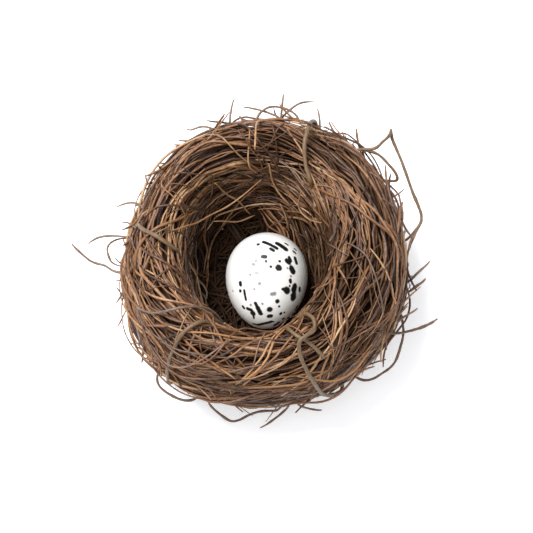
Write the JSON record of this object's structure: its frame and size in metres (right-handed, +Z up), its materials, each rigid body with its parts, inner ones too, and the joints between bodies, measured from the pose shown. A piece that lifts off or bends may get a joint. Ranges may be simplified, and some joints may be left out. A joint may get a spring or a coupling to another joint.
{
  "type": "bird nest with an egg",
  "caption": "Small woven cup nest of fine brown roots and vines with loose twig ends, and a white speckled egg lying in its deep round hollow.",
  "frame": {"origin": "middle of the flat foot that the nest stands on", "axes": "+Z up out of the hollow, +Y along the egg towards its blunt end, +X across the nest towards the thicker wall"},
  "size_m": [0.1128, 0.0985, 0.0491],
  "materials": {
    "bark": "matte",
    "vine": "matte",
    "shell": "satin"
  },
  "bodies": {
    "root": {"egg": "shell", "twig_far_arc": "bark", "twig_far_dark_stub": "bark", "twig_far_left": "bark", "twig_far_left_upright": "bark", "twig_far_lying": "bark", "twig_far_right_stub": "bark", "twig_far_spur": "bark", "twig_far_sweep": "bark", "twig_far_upright": "bark", "twig_left_bow": "bark", "twig_left_crooked": "bark", "twig_left_dark_stub": "bark", "twig_left_long": "bark", "twig_left_low_tan": "bark", "twig_left_lowest": "bark", "twig_left_rim_end": "bark", "twig_left_tan": "bark", "twig_left_upright": "bark", "twig_lower_left_bow": "bark", "twig_lower_left_stub": "bark", "twig_near_left_bow": "bark", "twig_near_right": "bark", "twig_near_tan": "bark", "twig_right_bow": "bark", "twig_right_dark_fork": "bark", "twig_right_lowest": "bark", "twig_right_middle": "bark", "twig_right_spur": "bark", "twig_right_upper_fork": "bark", "twig_upper_left": "bark", "vine_far_rim": "vine", "vine_knot": "vine", "vine_knot_stub": "vine", "vine_left_rim": "vine", "vine_near_left_rim": "vine", "vine_right_bow": "vine", "vine_upper_right_hook": "vine", "woven_cup": "bark"}
  },
  "joints": []
}
